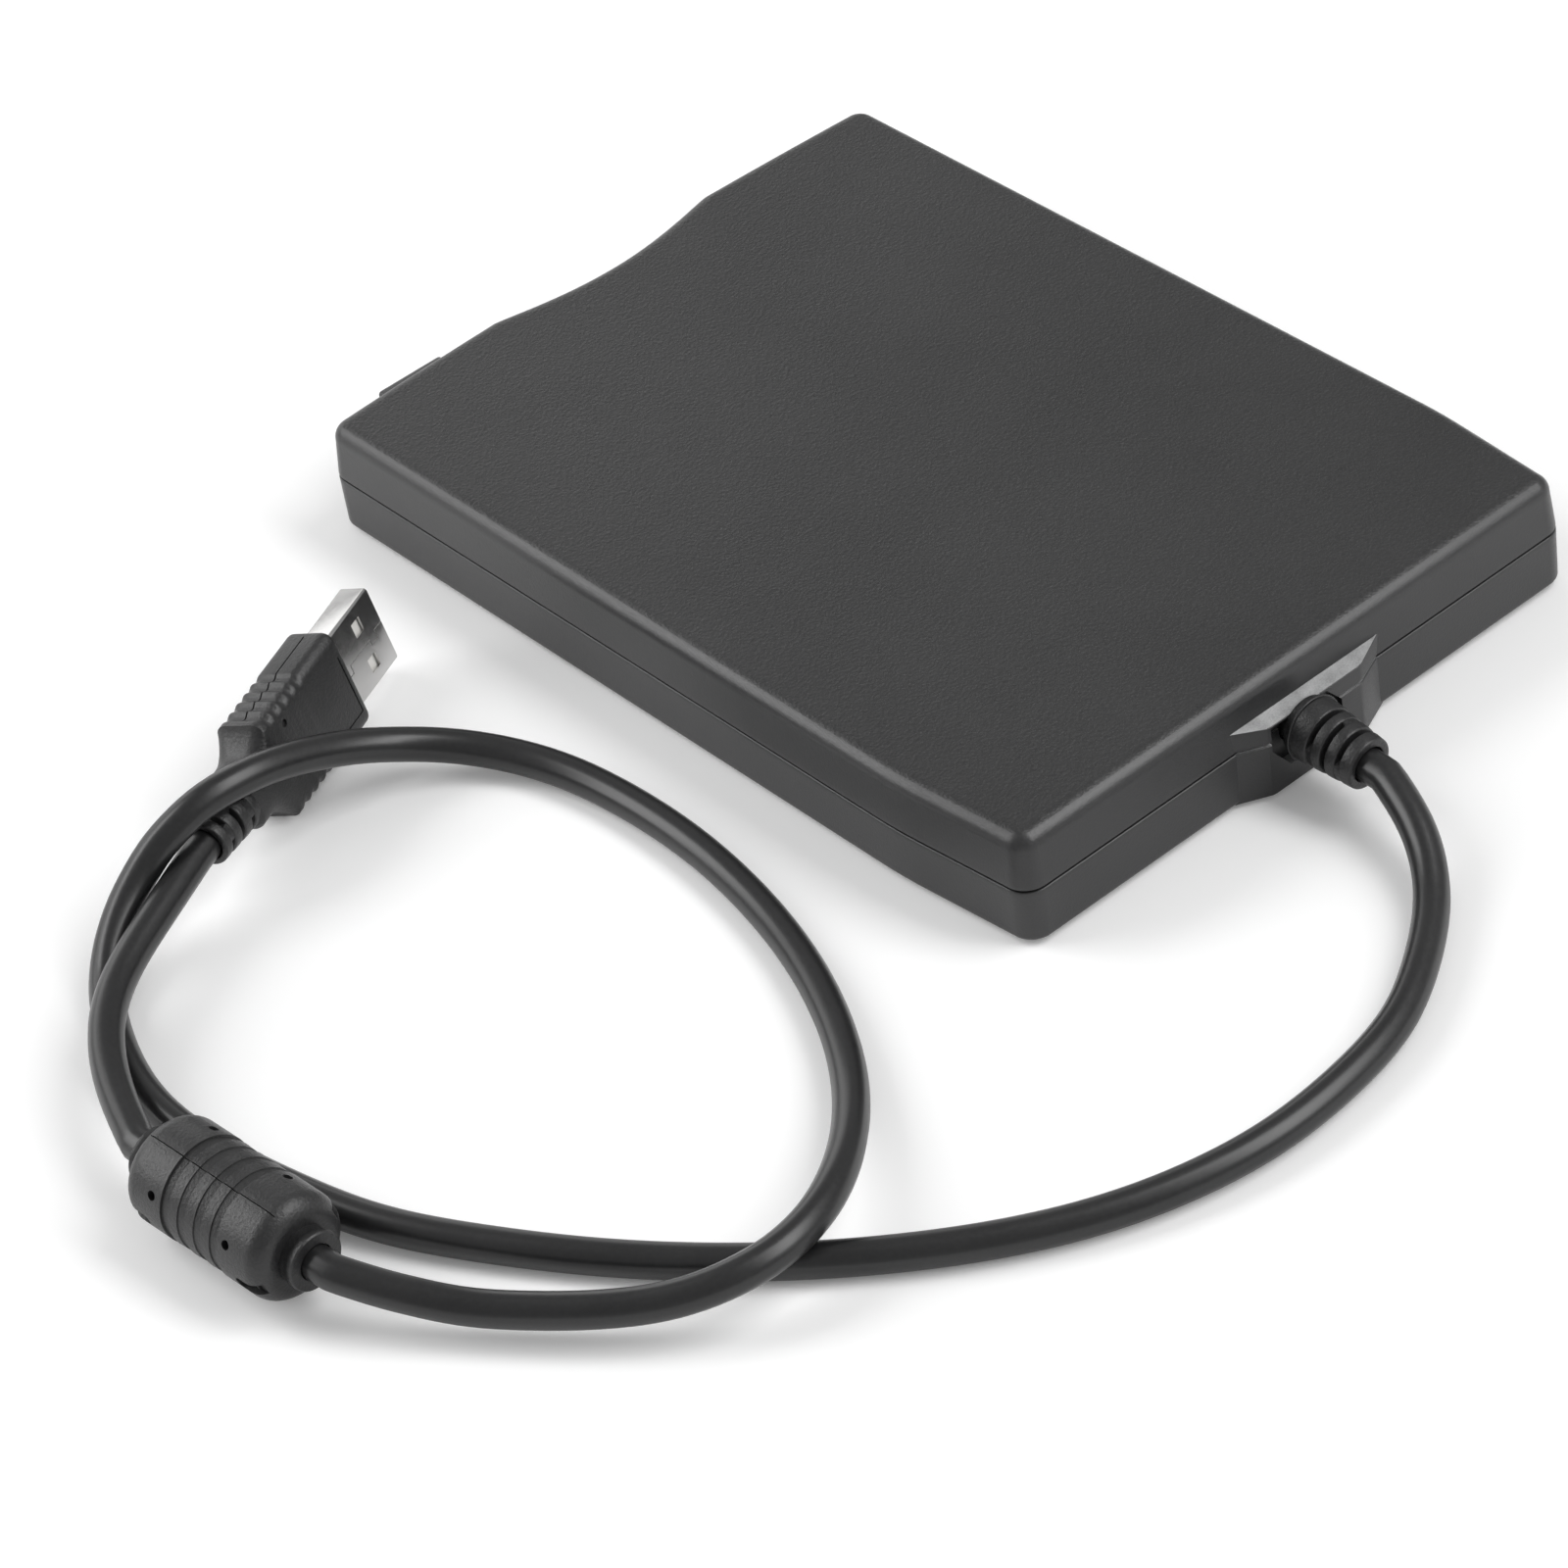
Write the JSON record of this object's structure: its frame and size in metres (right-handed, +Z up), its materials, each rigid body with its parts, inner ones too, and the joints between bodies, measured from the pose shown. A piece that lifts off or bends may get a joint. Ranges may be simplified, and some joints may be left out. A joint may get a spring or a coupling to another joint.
{
  "type": "external floppy disk drive",
  "caption": "Slim portable drive for cased magnetic disks, with a bowed front and thumb scoop, eject button, inner mechanism, and a captive cord with bead and plug.",
  "frame": {"origin": "under the middle of the case and its button, on the surface that the feet stand on", "axes": "+Z up, -Y out of the disk slot at the front, +Y out of the rear wall where the cord leaves, +X to the right as seen from the front"},
  "size_m": [0.2109, 0.1971, 0.0177],
  "materials": {
    "case_plastic": "fine moulded grain, near black",
    "foot_rubber": "matt black rubber",
    "cord_plastic": "semi-gloss black cord jacket and mouldings",
    "sheet_steel": "zinc plated pressed sheet",
    "bright_steel": "bright ground steel",
    "screw_steel": "nickel plated",
    "plug_metal": "nickel plated folded sheet",
    "bearing_brass": "turned brass",
    "ivory_plastic": "ivory moulded plastic",
    "grey_plastic": "grey moulded plastic",
    "lens_plastic": "smoked green lens",
    "board_laminate": "green lacquered circuit board",
    "chip_plastic": "black moulded chip body",
    "ferrite": "sintered ferrite grey",
    "ribbon_plastic": "white flat cable"
  },
  "bodies": {
    "case": {"top_cover": "case_plastic", "bottom_cover": "case_plastic", "rubber_foot_1": "foot_rubber", "rubber_foot_2": "foot_rubber", "rubber_foot_3": "foot_rubber", "rubber_foot_4": "foot_rubber", "strain_relief": "cord_plastic", "cord": "cord_plastic", "plug_cord": "cord_plastic", "ferrite_overmold": "cord_plastic", "plug_body": "cord_plastic", "drive_chassis": "sheet_steel", "drive_cover": "sheet_steel", "stepper_motor": "sheet_steel", "stepper_bracket": "sheet_steel", "spring_bracket": "sheet_steel", "slide_spring_left": "bright_steel", "slide_spring_right": "bright_steel", "stator": "bright_steel", "guide_rod": "bright_steel", "crystal": "bright_steel", "case_screw_1": "screw_steel", "case_screw_2": "screw_steel", "case_screw_3": "screw_steel", "case_screw_4": "screw_steel", "plug_shell": "plug_metal", "spindle_bearing": "bearing_brass", "led_lamp": "ivory_plastic", "controller_connector": "ivory_plastic", "interface_connector": "ivory_plastic", "plug_insert": "ivory_plastic", "sensor_switch_left": "grey_plastic", "sensor_switch_right": "grey_plastic", "led_lens": "lens_plastic", "motor_board": "board_laminate", "controller_board": "board_laminate", "interface_board": "board_laminate", "controller_chip": "chip_plastic", "interface_chip": "chip_plastic", "ferrite_core": "ferrite", "ribbon_cable": "ribbon_plastic"},
    "door": {"dust_door": "case_plastic"},
    "eject_slide": {"slide_plate": "sheet_steel", "eject_button": "case_plastic"},
    "holder": {"disk_holder": "sheet_steel", "shutter_lever_rivet": "bearing_brass"},
    "shutter_arm": {"shutter_lever": "bright_steel"},
    "spindle": {"rotor_cup": "sheet_steel", "rotor_magnet": "ferrite", "spindle_hub": "bright_steel", "drive_pin": "bright_steel"},
    "carriage": {"head_carriage": "ivory_plastic", "arm_pin": "bright_steel", "lower_head": "ferrite"},
    "head_arm": {"upper_head_arm": "bright_steel", "upper_head": "ferrite"},
    "screw": {"lead_screw": "bright_steel"},
    "write_protect_pin": {"write_protect_plunger": "ivory_plastic"},
    "disk_in_pin": {"disk_in_plunger": "ivory_plastic"},
    "density_pin": {"density_plunger": "ivory_plastic"}
  },
  "joints": [
    {"name": "dust_door_swing", "type": "hinge", "parent": "case", "child": "door", "pos_m": [0, -0.0671, 0.01209], "axis": [1, 0, 0], "range_deg": [0, 80], "stiffness_Nm_per_rad": 0.0004},
    {"name": "eject_slide_out", "type": "slide", "parent": "case", "child": "eject_slide", "axis": [0, -1, 0], "range_m": [0, 0.006], "deforming": ["slide_spring_left", "slide_spring_right"]},
    {"name": "holder_drop", "type": "slide", "parent": "case", "child": "holder", "axis": [0, 0, -1], "range_m": [0, 0.0022]},
    {"name": "shutter_lever_swing", "type": "hinge", "parent": "holder", "child": "shutter_arm", "pos_m": [-0.03301, 0.0202, 0.0129], "axis": [0, 0, 1], "range_deg": [0, 62], "stiffness_Nm_per_rad": 0.0005},
    {"name": "spindle_turn", "type": "hinge", "parent": "case", "child": "spindle", "pos_m": [0, -0.0155, 0.0045], "axis": [0, 0, 1], "continuous": true},
    {"name": "carriage_slide", "type": "slide", "parent": "case", "child": "carriage", "axis": [0, -1, 0], "range_m": [0, 0.0148]},
    {"name": "head_arm_lower", "type": "hinge", "parent": "carriage", "child": "head_arm", "pos_m": [0, 0.0542, 0.0106], "axis": [1, 0, 0], "range_deg": [0, 7.98]},
    {"name": "lead_screw_turn", "type": "hinge", "parent": "case", "child": "screw", "pos_m": [0.0095, 0.0294, 0.0089], "axis": [0, 1, 0], "range_deg": [0, 1190]},
    {"name": "write_protect_press", "type": "slide", "parent": "case", "child": "write_protect_pin", "axis": [0, 0, -1], "range_m": [0, 0.001], "stiffness_N_per_m": 5},
    {"name": "disk_in_press", "type": "slide", "parent": "case", "child": "disk_in_pin", "axis": [0, 0, -1], "range_m": [0, 0.001], "stiffness_N_per_m": 5},
    {"name": "density_press", "type": "slide", "parent": "case", "child": "density_pin", "axis": [0, 0, -1], "range_m": [0, 0.001], "stiffness_N_per_m": 5}
  ],
  "couplings": [
    {"joint": "holder_drop", "follows": "eject_slide_out", "ratio": 0.36667},
    {"joint": "head_arm_lower", "follows": "eject_slide_out", "rad_per_m": 23.183},
    {"joint": "lead_screw_turn", "follows": "carriage_slide", "rad_per_m": 1396.3}
  ]
}
